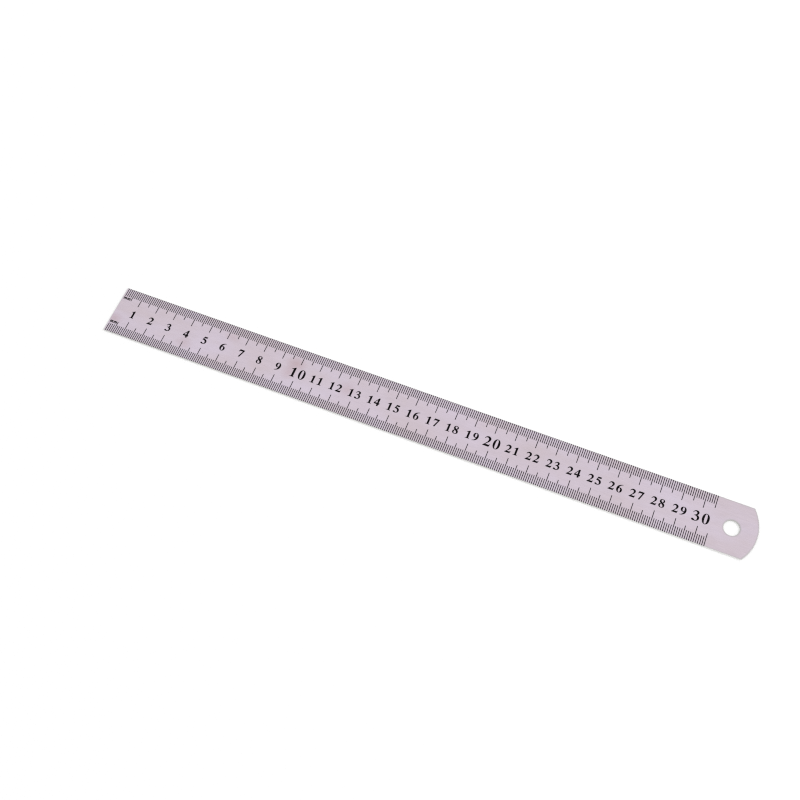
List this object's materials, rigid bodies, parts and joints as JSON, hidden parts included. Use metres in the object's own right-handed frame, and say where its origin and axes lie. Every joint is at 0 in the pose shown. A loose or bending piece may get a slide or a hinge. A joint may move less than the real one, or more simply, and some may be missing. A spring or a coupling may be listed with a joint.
{
  "type": "steel ruler",
  "caption": "Flat steel ruler with a square zero end, a rounded tab end with a hanging hole, millimetre scales on one face and inch scales on the other.",
  "frame": {"origin": "middle of the square zero end, at half the blade's width and half its thickness", "axes": "+X along the blade from the zero end to the tab, +Y across the blade, +Z out of the metric face"},
  "size_m": [0.3263, 0.026, 0.0008],
  "materials": {
    "steel": "brushed along the blade",
    "enamel": "satin black fill of the etched marks"
  },
  "bodies": {
    "root": {"blade": "steel", "metric_scale_upper": "enamel", "metric_scale_lower": "enamel", "inch_scale_tenths": "enamel", "inch_scale_sixteenths": "enamel"}
  },
  "joints": []
}
